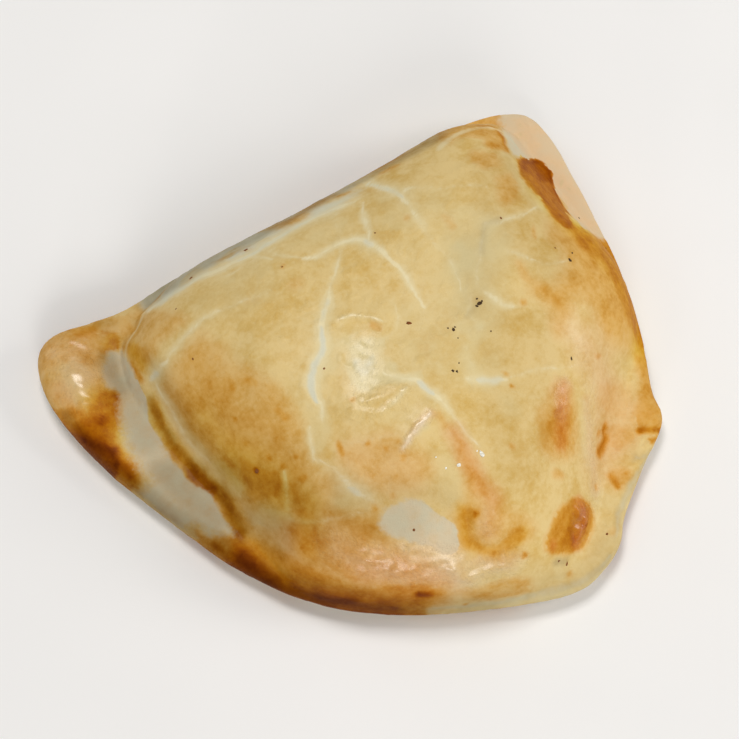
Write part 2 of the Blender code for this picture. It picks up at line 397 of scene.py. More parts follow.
softBorders = {  # where the bare dough fades into the glaze, width mm, amount, photo points
    "strip": [
        (2.6, 7, "119,408 122,422 126,436 132,450 139,466 148,480 143,492"),
        (1.8, 2.5, "103,362 105,380 116,391"), (1.8, 4, "112,352 124,352 132,372"),
        (2, 5, "150,503 166,516 185,526 212,534 230,534"),
        (1.2, 1, "147,405 163,437 184,474 214,497 231,529"),
    ],
    "tip": [(2.4, 5, "499,116 503,130 508,145 514,155"), (1.6, 4, "578,222 590,232 603,239")],
    "oval": [(2.2, 2.2, "379,524 384,511 400,501 414,499"), (1.6, 1.2, "384,532 407,540 430,549")],
}

# Pale glaze and painted sheen: broad paler places in the glaze, some of them painted highlights (the centre,
# right of the centre, lobe, ridge, curl, under the oval and part of the foot). Each is strength, softness
# mm, outline on the photograph
paleAndSheenPlaces = {
    "beside the long crack": [
        (0.72, 1.8, "318,328 345,334 360,330 352,345 342,352 340,368 324,372 318,384"),
    ],
    "centre": [
        (0.8, 1.5, "346,343 362,337 385,336 385,355 396,362 403,373 420,371 424,381 398,384 380,384 372,392 "
            "360,391 350,384 345,368"),
        (0.16, 4, "326,320 350,300 392,300 410,330 420,372 450,400 420,425 380,425 340,400 326,360"),
    ],
    "upper": [
        (0.88, 1.8, "447,246 456,237 464,243 470,250 478,240 482,228 500,221 494,236 491,246 499,259 "
            "488,268 480,282 475,298 484,318 487,329 478,332 464,319 457,309 460,294 453,280 447,258"),
        (0.6, 3.2, "436,214 470,206 500,214 512,240 506,280 500,330 480,345 452,330 448,290 436,256"),
        (0.34, 2.8, "372,192 400,186 448,188 455,205 436,232 415,232 385,232"),
    ],
    "level": [
        (0.52, 1.8, "458,348 466,340 480,341 478,358 482,372 500,374 508,370 507,385 472,390 462,376"),
        (0.32, 2, "498,392 512,396 520,414 508,420 500,406"),
    ],
    "left": [(0.3, 2.2, "192,300 225,282 272,262 278,286 262,306 222,316 204,322")],
    "fold": [
        (0.42, 1.8, "262,240 300,222 340,206 336,220 300,232 276,248 240,264"),
        (0.3, 3, "205,285 300,235 350,215 340,240 290,252 230,290"),
    ],
    "knot": [(0.55, 1.2, "340,240 352,235 366,236 378,244 384,254 370,252 354,245")],
    "between": [(0.24, 3.2, "392,240 430,232 446,262 452,300 430,330 404,330 420,300")],
    "curl": [(0.55, 1, "418,425 428,420 429,429 420,432")],
    "tip": [(0.85, 1, "508,140 518,141 524,151 521,157 512,154")],
    "neck": [(0.42, 1, "130,318 138,318 140,327 132,329")],
    "belly": [
        (0.62, 1.4, "246,510 262,506 290,512 294,522 272,530 252,524"),
        (0.14, 1.6, "250,530 280,524 300,540 288,552 262,548"),
    ],
    "long": [(0.34, 1.4, "308,404 328,404 330,432 318,456 308,450")],
    "lower": [(0.3, 1.8, "333,486 345,480 368,488 378,508 352,509 334,506")],
    "over the oval": [(0.26, 1.8, "430,452 450,450 462,470 464,500 448,506 440,480")],
    "under the oval": [(0.36, 1.4, "400,544 428,548 456,556 452,568 432,562 404,556")],
    "lobe": [(0.5, 1.4, "60,364 74,358 88,364 92,380 88,398 76,406 66,396 60,380")],
    "beside the glaze": [
        (0.52, 1.4, "158,390 168,396 179,412 190,430 202,444 216,456 231,470 244,488 240,498 226,492 "
            "210,477 197,463 186,449 174,431 163,413"),
    ],
    "foot": [
        (0.5, 1.2, "552,560 566,560 570,575 560,584 553,574"),
        (0.72, 1.2, "430,606 460,603 500,599 540,592 572,584 590,578 600,566 616,548 640,560 600,600 "
            "520,625 420,630"),
        (0.32, 2.4, "450,562 480,560 520,558 558,562 594,542 598,506 616,500 620,540 592,576 540,590 "
            "480,598 452,590"),
    ],
    "right": [
        (0.55, 1.2, "612,552 620,530 616,506 624,494 636,478 648,452 680,450 640,560"),
        (0.34, 1.4, "586,492 600,488 620,496 614,512 596,506"),
        (0.12, 3, "560,312 598,306 634,330 642,372 630,410 616,460 604,500 584,482 581,440 580,390 568,350"),
    ],
    "ridge": [(0.34, 1.2, "580,400 590,400 596,440 594,462 602,496 590,496 582,450")],
    "strip": [(0.35, 1, "148,380 156,368 166,366 160,380 154,392")],
    "stain": [(0.3, 1.2, "503,146 513,157 530,183 549,208 541,213 522,193 505,168")],
    "right of the centre": [
        (0.34, 3.5, "392,300 440,292 470,320 500,350 500,372 470,385 440,380 410,370 395,340"),
    ],
}

# Browning: washes are broad places, each depth, softness mm, outline on the photograph
washes = {
    "neck": [
        (0.15, 2.2, "108,318 132,311 160,310 182,314 186,322 168,336 156,352 146,374 134,376 127,362 "
            "122,345"),
        (0.24, 1.3, "120,347 134,342 148,350 150,362 142,372 134,362 126,355"),
    ],
    "left": [
        (0.16, 3.2, "170,368 185,348 200,334 222,346 232,359 258,372 278,388 292,406 303,427 309,452 "
            "318,468 332,478 338,492 334,506 352,508 378,508 386,530 402,543 425,550 432,570 452,580 "
            "452,596 440,620 345,630 200,580 190,540 228,537 232,520 218,500 205,480 190,462 175,440 "
            "165,420 158,400 163,385"),
        (0.18, 3, "166,392 195,378 240,377 236,398 252,410 280,418 287,445 306,466 306,488 320,504 288,514 "
            "262,500 234,504 220,478 205,450 190,430 172,410"),
    ],
    "body": [
        (0.34, 1.6, "238,458 250,461 264,468 279,470 282,486 272,499 250,501 247,486 240,474"),
        (0.18, 1.6, "288,462 298,466 308,490 318,512 300,518 292,500"),
        (0.28, 1.8, "290,526 316,526 322,545 318,560 302,558 299,546 290,538"),
        (0.22, 2.2, "338,518 368,514 380,526 368,546 346,538"),
    ],
    "belly": [
        (0.18, 2.6, "222,510 238,520 250,545 275,563 305,572 328,576 350,582 376,592 400,592 440,590 "
            "450,598 430,614 380,640 280,640 205,570 232,540"),
        (0.08, 2.4, "270,540 320,544 350,566 400,580 440,584 430,600 330,590"),
        (0.72, 3.2, "234,546 250,556 268,569 290,579 312,587 340,592 362,598 384,604 404,609 410,650 "
            "320,650 200,600"),
        (0.62, 1.6, "234,544 246,546 256,556 268,568 284,580 280,620 230,600"),
        (0.36, 1.4, "306,592 330,594 352,598 354,640 300,640"),
        (0.34, 1.6, "366,590 390,584 424,584 444,590 442,599 418,606 380,608"),
        (0.4, 2.6, "238,536 262,540 296,558 340,580 380,592 430,598 420,640 300,640 240,600 225,560"),
        (0.14, 2, "256,534 290,530 310,545 300,562 274,556"),
    ],
    "lobe": [
        (0.16, 2, "20,352 44,325 70,310 112,308 120,330 119,348 104,356 100,372 110,390 120,400 90,408 "
            "60,420 30,400 20,370"),
        (0.28, 1.2, "68,330 84,326 98,326 94,338 76,340"),
        (0.33, 1, "99,330 118,334 119,348 108,355 101,352 106,342"),
        (0.4, 1.6, "40,412 72,406 88,411 94,397 106,388 119,391 122,408 119,427 114,438 122,449 132,458 "
            "142,468 140,480 124,500 90,480 50,440"),
        (0.54, 1.8, "62,424 88,417 98,412 108,414 110,427 106,440 118,450 122,470 108,490 74,465 50,430"),
        (0.72, 1.6, "72,430 90,430 103,438 116,450 118,480 80,470 56,436"),
    ],
    "foot": [
        (0.34, 1.2, "196,530 212,538 234,538 238,548 228,580 200,560"),
        (0.2, 1.6, "452,586 478,588 508,577 530,578 528,592 492,601 466,598"),
    ],
    "patch": [
        (0.18, 2.4, "556,378 568,385 574,400 576,420 579,445 572,458 555,460 542,450 540,430 538,412 "
            "546,400"),
        (0.3, 1.5, "556,404 568,404 573,422 569,438 560,450 550,438 548,418"),
    ],
    "blister": [
        (0.38, 1.1, "573,498 585,499 593,512 593,530 586,545 568,553 550,553 544,545 552,524 560,508"),
        (0.44, 1, "578,503 588,511 588,526 578,544 558,546 565,532 569,514"),
    ],
    "boss": [
        (0.14, 2.4, "448,434 462,438 470,458 482,476 502,490 512,510 532,520 536,532 520,548 505,562 "
            "488,562 472,552 459,546 457,526 450,514 462,500 462,480 455,455"),
        (0.32, 1.6, "460,506 474,506 480,516 472,530 484,545 478,551 463,547 455,530"),
        (0.22, 1.2, "476,542 500,544 506,552 494,558 478,554"),
        (0.26, 1.2, "497,546 508,530 522,525 527,534 514,548 502,552"),
    ],
    "streak": [(0.2, 1.6, "448,424 460,438 474,458 482,476 492,500 470,492 462,466")],
    "middle": [
        (0.11, 2.6, "338,446 362,440 388,430 402,442 416,452 430,458 436,470 418,488 380,492 360,480 "
            "342,464"),
    ],
    "right": [
        (0.12, 2.2, "598,384 620,380 630,396 626,420 608,416 597,402"),
        (0.27, 2, "634,352 660,356 668,390 690,410 680,428 640,428 634,410 640,390 636,368"),
    ],
    "pinch": [(0.12, 1.3, "606,424 632,424 640,436 622,450 608,446")],
    "low": [(0.2, 1.2, "605,474 618,468 632,470 628,484 616,490")],
    "tip": [
        (0.58, 0.9, "518,159 535,159 551,169 553,187 560,199 568,214 574,226 566,230 556,220 546,208 "
            "534,192 522,178"),
        (0.6, 1, "522,160 536,161 550,171 551,184 542,182 532,170 523,168"),
        (0.4, 2.8, "566,216 576,226 590,234 612,240 640,268 660,300 670,340 648,350 636,344 630,330 622,305 "
            "610,280 602,262 582,252 572,240"),
        (0.19, 3.2, "550,214 566,226 602,255 616,290 632,330 644,354 610,346 600,330 590,308 574,300 "
            "571,320 560,336 552,326 548,306 530,290 535,280 550,285 562,268 562,252 548,236"),
        (0.16, 1.6, "532,286 545,283 560,300 552,307 540,299"),
        (0.16, 1.8, "496,176 510,172 520,188 512,204 500,202"),
        (0.2, 6, "560,222 590,236 614,246 650,290 670,340 650,350 626,336 606,300 588,268 570,250"),
    ],
    "edge": [(0.2, 1.6, "600,310 640,304 650,332 620,337 604,331")],
    "fold": [
        (0.18, 1.4, "436,134 452,122 480,110 504,112 505,146 492,149 482,138 462,138 446,144"),
        (0.16, 1.6, "472,150 498,152 500,166 484,168 470,160"),
    ],
}

# and strokes are narrow ones, each width mm, depth, photo points
browning = {
    "lobe": [
        (0.9, 0.5, "114,397"), (0.7, 0.55, "104,416 101,424"), (1.4, 0.6, "84,440 96,447 108,451"),
        (1.2, 0.78, "114,450 117,464"), (1.3, 0.68, "124,466 130,476"),
    ],
    "pool": [
        (1.1, 0.28, "132,364 140,378"), (1.8, 0.36, "155,406 159,415 163,424"),
        (1.3, 0.26, "163,426 168,438 176,450"), (2.1, 0.37, "178,453 187,464 195,472"),
        (1.9, 0.66, "195,473 203,481 212,489"), (2.3, 0.4, "216,490 226,499 231,508"),
        (2.1, 0.38, "230,508 236,518 240,528"), (1.3, 0.44, "239,532 240,546"),
    ],
    "foot": [
        (0.8, 0.5, "214,546 222,551"), (0.8, 0.26, "570,573"), (1.1, 0.3, "486,596"), (1.2, 0.22, "514,580"),
    ],
    "corner": [(1.8, 0.66, "240,554 248,563 258,570")],
    "edge": [
        (1.4, 0.45, "318,598 336,601 352,603"), (1.2, 0.45, "380,602 394,607"),
        (1.2, 0.85, "419,594 428,595"), (0.55, 0.5, "465,604"),
    ],
    "body": [
        (0.6, 0.85, "256,471"), (0.8, 0.42, "269,457"), (0.9, 0.42, "283,467"),
        (0.9, 0.34, "278,486 276,494"), (1, 0.24, "292,486 297,497"), (0.9, 0.24, "298,512 310,514"),
        (0.8, 0.3, "226,458 232,466"), (0.9, 0.36, "303,479"), (0.8, 0.33, "374,508"),
        (0.8, 0.36, "302,548"), (0.8, 0.26, "246,442"), (1.1, 0.22, "246,380 254,382"),
        (0.7, 0.24, "232,388"), (1.2, 0.2, "352,577 346,568"), (0.8, 0.24, "278,412 286,418"),
        (0.6, 0.26, "217,400"), (0.6, 0.46, "235,419"), (0.6, 0.33, "296,457"),
    ],
    "fold": [
        (0.8, 0.42, "480,126 489,126 497,130 502,138 505,149"), (1.3, 0.26, "489,144 500,146"),
        (0.9, 0.18, "380,174 396,166"), (0.8, 0.2, "338,196 350,191"), (0.9, 0.36, "242,251 248,250"),
        (0.8, 0.24, "192,277"), (0.7, 0.22, "212,263 230,255 246,247"),
    ],
    "notch": [(0.8, 0.56, "641,431 650,430 660,430"), (0.8, 0.45, "651,441 656,439")],
    "pinch": [
        (1.2, 0.52, "604,430"), (1.3, 0.46, "606,438 603,446 599,453"), (0.8, 0.3, "598,434"),
        (0.8, 0.34, "612,476 618,485"), (0.6, 0.26, "626,474"), (0.7, 0.3, "597,486"),
    ],
    "side": [(0.9, 0.22, "612,532")],
    "blister": [(0.9, 0.4, "568,530 573,540"), (0.6, 0.58, "585,524")],
    "boss": [(0.9, 0.3, "494,553"), (0.6, 0.5, "476,514"), (0.75, 0.52, "523,556")],
    "smudges": [
        (0.9, 0.17, "445,216 452,226"), (1.1, 0.16, "519,264 528,278"), (0.6, 0.2, "533,228 533,236"),
        (0.8, 0.24, "408,218"), (0.7, 0.3, "524,302"), (1, 0.16, "556,298 560,308"), (0.6, 0.28, "386,451"),
        (0.6, 0.28, "369,444"), (0.7, 0.32, "338,446 343,453"), (0.8, 0.24, "404,458"),
        (0.6, 0.26, "354,400"), (0.7, 0.16, "371,325 378,328"), (0.7, 0.18, "397,441"),
        (0.6, 0.36, "507,374"), (0.5, 0.33, "512,386"), (0.7, 0.18, "372,476"), (0.7, 0.2, "394,495"),
        (1, 0.12, "438,414 444,424"), (0.7, 0.18, "513,446"), (1, 0.18, "556,474 562,477"),
        (0.5, 0.2, "596,357 600,357"), (0.6, 0.26, "283,267"), (1.8, 0.08, "296,284"), (0.8, 0.2, "570,258"),
        (2.6, 0.15, "192,362 208,378"),
    ],
    "patch": [(1.2, 0.3, "563,400 557,416"), (1.4, 0.32, "561,430 566,443"), (0.9, 0.26, "549,424")],
    "tip": [(0.9, 0.6, "524,161 538,163 549,172 553,186 560,201 569,214")],
}

backBrowning = {  # azimuth in degrees, height in mm
    "fold": [
        (2.2, 0.4, "150,4 165,5 185,4 200,5"), (2, 0.6, "205,3 218,4 232,3"), (4, 0.26, "170,18 180,22"),
        (3.4, 0.28, "214,14 224,11"),
    ],
    "right": [(2, 0.45, "95,3 108,4 122,3")],
}

paintedShade = {  # painted shade: greyer, darker dough where shade falls, in the hollow by the pool, along the strip and the low sides, and a darker line along the grey crack
    "fold": [
        (4.2, 0.58, "130,400 138,422 146,438"), (4.2, 0.9, "166,474 182,492 212,522"),
        (2.6, 0.95, "108,360 113,374 122,388"), (2.6, 1.3, "134,484 150,496 168,511 195,529 222,546"),
    ],
    "left": [(1.5, 0.8, "66,416 80,432 102,456 128,478")],
    "pool": [
        (2.2, 0.85, "152,404 160,420 169,438 180,455 191,468"),
        (2.6, 1.2, "194,470 206,481 219,492 228,503 234,516 240,530"),
    ],
    "belly": [(1.8, 1.2, "250,576 300,594 350,603 400,610")],
    "foot": [
        (1.2, 0.5, "415,610 455,607 485,604 515,599 545,593 572,585 594,573 610,556"),
        (1, 0.7, "557,562 566,561"),
    ],
    "right": [(1, 0.4, "616,540 618,516 625,499 634,482 644,463 653,448")],
    "oval": [(6, 0.4, "400,520")],
    "grey": [(0.8, 0.5, "500,219 487,224 484,236 483,252"), (0.7, 0.4, "478,300 474,309 466,318")],
}

shades = {  # painted shade over broad places that lie in shade, such as the lower left slope, the fold side and the belly: amount, softness mm, outline on the photograph
    "left": [
        (0.22, 4, "158,396 200,402 250,428 300,450 330,490 336,540 300,580 240,570 232,520 200,470"),
        (0.72, 4.5, "205,450 250,458 300,478 326,500 324,530 300,540 256,536 228,516"),
        (1.2, 2.2, "62,424 78,438 98,453 118,467 136,482 152,495 176,513 204,532 232,548 262,572 300,586 "
            "345,597 392,603 436,606 440,640 330,640 200,580 100,500 30,430"),
    ],
    "over the oval": [
        (0.48, 3.4, "326,474 372,482 410,484 444,486 458,494 452,508 442,506 430,502 400,498 380,514 "
            "384,536 330,530"),
    ],
    "upper": [
        (0.3, 4, "450,240 480,220 500,222 498,260 488,320 462,316 456,270"),
        (0.32, 4, "474,158 506,142 538,196 574,250 560,290 520,262 490,232 472,204"),
    ],
    "fold": [
        (1, 1.5, "146,309 152,305 175,289 204,271 234,254 268,235 303,216 333,199 368,180 403,161 433,146 "
            "446,139 440,110 390,136 350,158 300,186 250,212 200,242 160,266 135,290"),
    ],
    "beside the pool": [
        (0.66, 2.4, "142,348 160,362 184,398 206,430 238,462 272,496 296,540 286,566 262,548 246,520 "
            "224,490 198,458 176,426 156,388 142,364"),
    ],
    "right of the middle": [(0.22, 4, "486,296 556,310 562,400 540,480 500,500 482,420 480,350")],
    "belly": [(0.9, 2.4, "262,560 300,574 340,584 390,594 440,596 500,596 500,630 300,640 240,590")],
    "foot": [(0.36, 2.4, "490,592 540,580 584,562 610,535 640,560 600,620 480,630")],
    "lobe": [(0.4, 1.4, "96,322 110,318 120,322 122,344 112,350 100,336")],
}

crinkles = {  # fine bright wrinkles in the glaze
    "centre": [
        (3.6, 0.42, "362,348 366,368 362,388"), (2.2, 0.26, "350,412 366,414 380,410"),
        (3, 0.2, "392,388 412,420"),
    ],
    "swirl": [(1.4, 0.45, "366,400 378,398"), (1, 0.6, "384,410 393,403 401,395 408,388")],
    "side": [
        (3, 0.32, "576,335 584,360 590,390 589,420 590,450 593,480 592,505"), (3.6, 0.16, "560,320 580,300"),
    ],
    "foot": [(3.2, 1, "446,562 462,578 486,571 512,562")],
    "belly": [(3.6, 1, "330,546 362,558 392,568 420,570 446,570")],
    "lobe": [(4.6, 1, "66,358 76,376 82,394")],
    "blister": [(2.2, 1, "580,514 579,534")],
    "boss": [(2, 0.25, "488,512 488,532")],
    "patch": [(2.2, 0.7, "562,386 562,410")],
    "pleat": [(1, 0.8, "403,449 408,439 415,430 424,422 431,413")],
    "arch": [(0.7, 0.35, "340,319 352,316 364,316 376,320")],
    "under the oval": [(2.2, 0.6, "404,550 430,556 450,562")],
}

blush = {  # a redder tone over the gold
    "lobe": [(4.4, 0.26, "50,350 75,350 90,385"), (3, 0.32, "60,392 84,412 110,408")],
    "belly": [
        (4, 0.5, "365,574 400,572 436,576"), (2.4, 0.45, "330,592 380,598 425,594"),
        (7, 0.42, "300,540 350,560 400,575 440,575"),
    ],
    "boss": [(2.4, 0.35, "490,515 488,530"), (2.4, 0.3, "480,562 510,560")],
    "blister": [(1.9, 0.9, "579,506 583,520 576,540"), (1.3, 0.8, "553,545")],
    "patch": [(2.2, 0.7, "564,390 563,412 562,440")],
    "streak": [(2.2, 0.45, "455,432 466,455 476,475 492,500")],
    "right": [(4, 0.22, "605,380 622,410 612,450"), (5.5, 0.34, "588,345 604,380 604,420 598,460")],
    "tip": [(7, 0.46, "530,130 560,175 585,215"), (0.7, 1, "537,127")],
    "body": [(6, 0.2, "360,460 400,470")],
    "pleat": [(0.9, 0.35, "403,449 415,430 431,413")],
    "ridge": [(1.6, 0.3, "587,400 590,440 595,490")],
}

yolk = {  # egg glaze that ran together and baked a deeper yellow
    "pool": [(2.4, 0.62, "154,406 168,438 187,464 206,482 226,498 238,528")],
    "body": [
        (6, 0.66, "236,466 262,482 280,496"), (5, 0.38, "205,425 230,455"), (3.6, 0.6, "304,505 309,545"),
    ],
    "belly": [(3, 0.2, "246,548 275,570 310,584")],
    "stain": [(4.2, 1, "530,168 545,195 566,220 590,238")],
    "run": [(5, 1, "590,238 612,264 630,300 642,340")],
    "lobe": [(3.6, 0.9, "98,402 108,412 104,432"), (1.6, 0.6, "110,342")],
    "neck": [(2.2, 0.6, "132,352 142,362")],
    "boss": [(1.4, 0.3, "462,510 470,545 500,552 524,532")],
    "edge": [(2.4, 0.6, "114,450 130,474")],
}

# Small relief, in mm: width, height, photo points
relief = {
    "arch": [
        (0.7, 0.2, "338,319 350,316 362,316 374,320 380,324"),
        (0.9, -0.14, "336,326 352,323 368,324 378,329"), (0.8, 0.08, "376,332 390,326 398,322"),
    ],
    "swirl": [
        (0.8, 0.18, "346,410 358,412 372,413 384,410 393,403 401,395 408,388"),
        (0.7, -0.1, "353,399 361,404 373,407 385,404 394,397 401,389"),
        (0.7, 0.16, "366,401 375,398 381,395"), (0.9, 0.14, "350,416 366,418 380,416 384,410"),
    ],
    "pleat": [
        (0.8, 0.2, "402,450 406,443 411,436 419,428 427,421 432,413"),
        (0.6, 0.08, "408,446 416,436 425,430 431,423"), (0.8, 0.12, "384,454 394,455 402,450"),
    ],
    "middle": [(0.7, 0.1, "345,443 360,442 380,439 396,436")],
    "side": [
        (2, 0.12, "584,340 587,372 592,400 589,430 593,462 590,500"),
        (1.6, -0.12, "566,384 562,412 566,440"),
    ],
    "pinch": [
        (0.8, -0.42, "604,430 605,440 600,454"), (0.7, -0.32, "612,474 616,482 622,488"),
        (0.6, -0.24, "597,480 597,490"),
    ],
    "notch": [(0.55, -0.55, "636,431 648,429 662,427"), (0.8, 0.35, "640,424 650,423 660,420")],
    "blister": [
        (1.9, 0.75, "576,508 582,520 578,536"), (0.6, -0.35, "566,530 572,526 580,522"),
        (1.3, 0.35, "551,546"),
    ],
    "boss": [(2.4, 0.6, "490,514 489,528"), (1.1, -0.3, "468,512 467,530 474,543 492,548 508,540 520,531")],
    "belly": [(1.2, 0.45, "422,590 430,595"), (2, 0.35, "392,572 410,570")],
    "low": [
        (0.9, 0.36, "445,560 455,568 463,578 475,582"), (0.9, 0.36, "472,576 486,571 500,565 512,560"),
        (0.8, 0.24, "350,552 362,560 376,562"),
    ],
    "lobe": [(1.2, -0.25, "92,380 96,395"), (0.8, -0.3, "104,350 108,366 110,388")],
    "fold": [
        (0.6, -0.25, "226,258 240,251 254,243 266,236"), (0.7, 0.22, "478,130 490,128 499,133 503,143"),
    ],
    "pool": [(1.2, -0.18, "150,404 160,426 175,452 198,478 220,500 240,536")],
}

# How the marks are broken up and what else the surface has: heights and lengths in mm
texture = {
    "patches": {  # middle, amount, length, seed, least, most
        "pale": (1.0, 0.9, 5.5, 11, 0.6, 1.3),
        "line": (1.0, 1.2, 3.2, 13, 0.4, 1.4),
        "paleAndSheen": (1.0, 0.6, 4.0, 12, 0.7, 1.3),
        "raw": (0.9, 1.5, 6.5, 14, 0.45, 1.15),
        "hidden": (0.12, 1.2, 16, 1, 0.0, 0.6),
    },
    "facingRounds": 90,
    "outlineReach": 4.5,
    "paleHalo": 0.14,
    # painted shade on the low sides
    "rimShade": 0.55,
    "broken": (0.7, 2.2, 6),  # share, length, seed
    "crinkle": (0.2, 1.8, 7),
    "crackDepth": 0.05,
    "bareDepth": 0.1,
    "lumps": ((0.16, 7.0, 2), (0.055, 1.9, 3)),  # height, length, seed
    "bubble": (0.1, 2.6, 4),
}


def noiseField(length, seed):
    shift = Vector((seed * 3.1, seed * 1.7, seed * 2.3))
    return np.array([noise.noise(Vector(place) / (length * mm) + shift) for place in places])


crustEnds = np.zeros(len(crustData.edges) * 2, int)
crustData.edges.foreach_get("vertices", crustEnds)
crustEnds = crustEnds.reshape(-1, 2).T


def blurred(values, rounds):  # spread over the neighbouring points
    first, second = crustEnds
    count = np.bincount(crustEnds.ravel(), minlength=pointCount)
    for _ in range(rounds):
        around = np.bincount(first, values[second], pointCount)
        around += np.bincount(second, values[first], pointCount)
        values = (values + around / count) / 2
    return values


photoX, photoY = inPhoto(strayed)
facing = normals @ np.array(cameraBack)
softFacing = blurred(facing, texture["facingRounds"])


def outlineRuns(corners):  # the parts of an outline that lie on the crust
    runs = [[]]
    for point in curveThrough(corners + corners[:1]):
        place = crustTree.ray_cast(cameraPlace, rayThrough(*point))[0]
        if place is not None:
            runs[-1].append(place)
        elif runs[-1]:
            runs.append([])
    return [np.array(run) for run in runs if run]


def depthInside(corners):  # mm inside the outline, or less than 0 outside it
    runs = outlineRuns(corners)
    line = np.concatenate(runs)
    inside = insideOutline(corners, photoX, photoY) & (softFacing > -0.35)
    reach = texture["outlineReach"]
    near = (strayed > line.min(0) - reach * mm) & (strayed < line.max(0) + reach * mm)
    near = inside | np.all(near, axis=1)
    depth = np.full(pointCount, -reach)
    gap = np.min([nearestOn(run, strayed[near])[0] for run in runs], axis=0) / mm
    depth[near] = np.where(inside[near], gap, -gap)
    return depth


def spread(group, rounds=0):
    total = np.zeros(pointCount)
    for strength, softness, corners in strokesIn(group):
        total += (strength * smoothStep(depthInside(corners), -softness, softness)) ** 3
    return blurred(total ** (1 / 3) * smoothStep(softFacing, -0.3, 0.15), rounds)


def patchy(name):
    middle, amount, length, seed, low, high = texture["patches"][name]
    return np.clip(middle + amount * noiseField(length, seed), low, high)


field = {}
pale = np.maximum(gather(cracksAndGlints, core=0.0, taper=0.5), gather(backCracks, aroundAt, 0.0, 0.5))
halo = gather(cracksAndGlints, core=0.0, taper=0.3, widen=2.6)
field["pale"] = (pale ** 2 + texture["paleHalo"] * halo ** 2) ** 0.5 * patchy("pale")
field["line"] = gather(cracksAndGlints, core=0.0, taper=0.5, widen=0.42) * patchy("line")
field["paleAndSheen"] = np.minimum(1, spread(paleAndSheenPlaces) * patchy("paleAndSheen"))
field["core"] = np.maximum(gather(crackCores, core=0.0, taper=0.6), spread(rawDough, 25) * patchy("raw"))
field["blush"] = gather(blush, core=0.1)
field["yolk"] = gather(yolk, core=0.0)
field["crinkle"] = gather(crinkles, core=0.1)
toast = (spread(washes) ** 2 + gather(browning, core=0.1) ** 2) ** 0.5
toast = np.maximum(toast, gather(backBrowning, aroundAt, 0.1))
# painted shade from the strokes and the broad places
shadeAmount = np.minimum(2, (gather(paintedShade, core=0.2) ** 2 + spread(shades, 12) ** 2) ** 0.5)
bare = np.max([depthInside(pointsOf(path)) for path in bareDough.values()], axis=0)
field["bare"] = np.clip(bare, -3, 3) / (1 + gather(softBorders, core=0.1))
print("crust marked")

rise = places[:, 2] / mm  # above the base
hidden = 1 - smoothStep(softFacing, 0.0, 0.4)  # the camera of the photograph doesn't see it
field["under"] = (1 - smoothStep(normals[:, 2], -0.35, 0.15)) * (1 - smoothStep(rise, 2, 7))
flatBase = smoothStep(-normals[:, 2], 0.9, 0.99) * (1 - smoothStep(rise, 0.05, 0.3))
field["base"] = flatBase
# painted shade low on the sides, where the pastry nears the floor
lowRim = (1 - smoothStep(rise, 1, 5)) * (1 - smoothStep(normals[:, 2], 0.1, 0.8))
field["paintedShade"] = np.maximum(shadeAmount, texture["rimShade"] * lowRim * (1 - flatBase))
field["toast"] = np.maximum(toast, hidden * patchy("hidden") * (1 - flatBase))

def rippled(height, length, seed):
    return height * noiseField(length, seed)


lift = np.zeros(pointCount)
broken = 1 + rippled(*texture["broken"])
for width, height, corners in strokesIn(relief):
    lift += height * broken * strokeOver(onCrust(corners), width, 0.0, 0.6)
lift -= texture["crackDepth"] * smoothStep(field["pale"], 0.1, 0.9)
lift -= texture["bareDepth"] * smoothStep(field["bare"], -0.3, 0.3)
lift += rippled(*texture["crinkle"]) * field["crinkle"]
for lump in texture["lumps"]:
    lift += rippled(*lump)
height, length, seed = texture["bubble"]
lift += height * smoothStep(noiseField(length, seed), 0.25, 0.6)
lift *= (1 - flatBase) * smoothStep(rise, 0, 2.5)
places += normals * (lift * mm)[:, None]
crustData.vertices.foreach_set("co", places.ravel())
for name, values in field.items():
    kept = crustData.attributes.new(name, "FLOAT", "POINT")
    kept.data.foreach_set("value", values.astype(np.float32))
crustData.update()
print("crust relief made")


def feed(tree, socket, source):
    if isinstance(source, bpy.types.NodeSocket):
        tree.links.new(source, socket)
    else:
        socket.default_value = source


def calculate(tree, operation, *sources):
    node = tree.nodes.new("ShaderNodeMath")
    node.operation = operation
    for socket, source in zip(node.inputs, sources):
        feed(tree, socket, source)
    return node.outputs[0]


def blendColour(tree, factor, first, second, blend="MIX"):
    node = tree.nodes.new("ShaderNodeMix")
    node.data_type = "RGBA"
    node.blend_type = blend
    feed(tree, node.inputs[0], factor)
    feed(tree, node.inputs[6], first)
    feed(tree, node.inputs[7], second)
    return node.outputs[2]


def rangeOf(tree, *sources):  # value, from low, from high, and to low, to high where not 0 and 1
    node = tree.nodes.new("ShaderNodeMapRange")
    node.interpolation_type = "SMOOTHSTEP"
    for socket, source in zip(node.inputs, sources):
        feed(tree, socket, source)
    return node.outputs["Result"]


def readField(tree, name):
    node = tree.nodes.new("ShaderNodeAttribute")
    node.attribute_name = name
    return node.outputs["Fac"]


def colourRamp(tree, factor, stops):
    node = tree.nodes.new("ShaderNodeValToRGB")
    ramp = node.color_ramp
    while len(ramp.elements) < len(stops):
        ramp.elements.new(0.5)
    for element, (position, colour) in zip(ramp.elements, stops):
        element.position = position
        element.color = (*colour, 1)
    feed(tree, node.inputs[0], factor)
    return node.outputs[0]


def startGroup(name, inputs, output):
    tree = bpy.data.node_groups.new(name, "ShaderNodeTree")
    for label, value in inputs:
        socket = tree.interface.new_socket(label, in_out="INPUT", socket_type="NodeSocketFloat")
        socket.default_value = value
    tree.interface.new_socket(output, in_out="OUTPUT", socket_type="NodeSocketFloat")
    return tree, tree.nodes.new("NodeGroupInput").outputs, tree.nodes.new("NodeGroupOutput").inputs[0]


def useGroup(tree, group, **values):
    node = tree.nodes.new("ShaderNodeGroup")
    node.node_tree = group
    for name, source in values.items():
        feed(tree, node.inputs[name], source)
    return node.outputs[0]


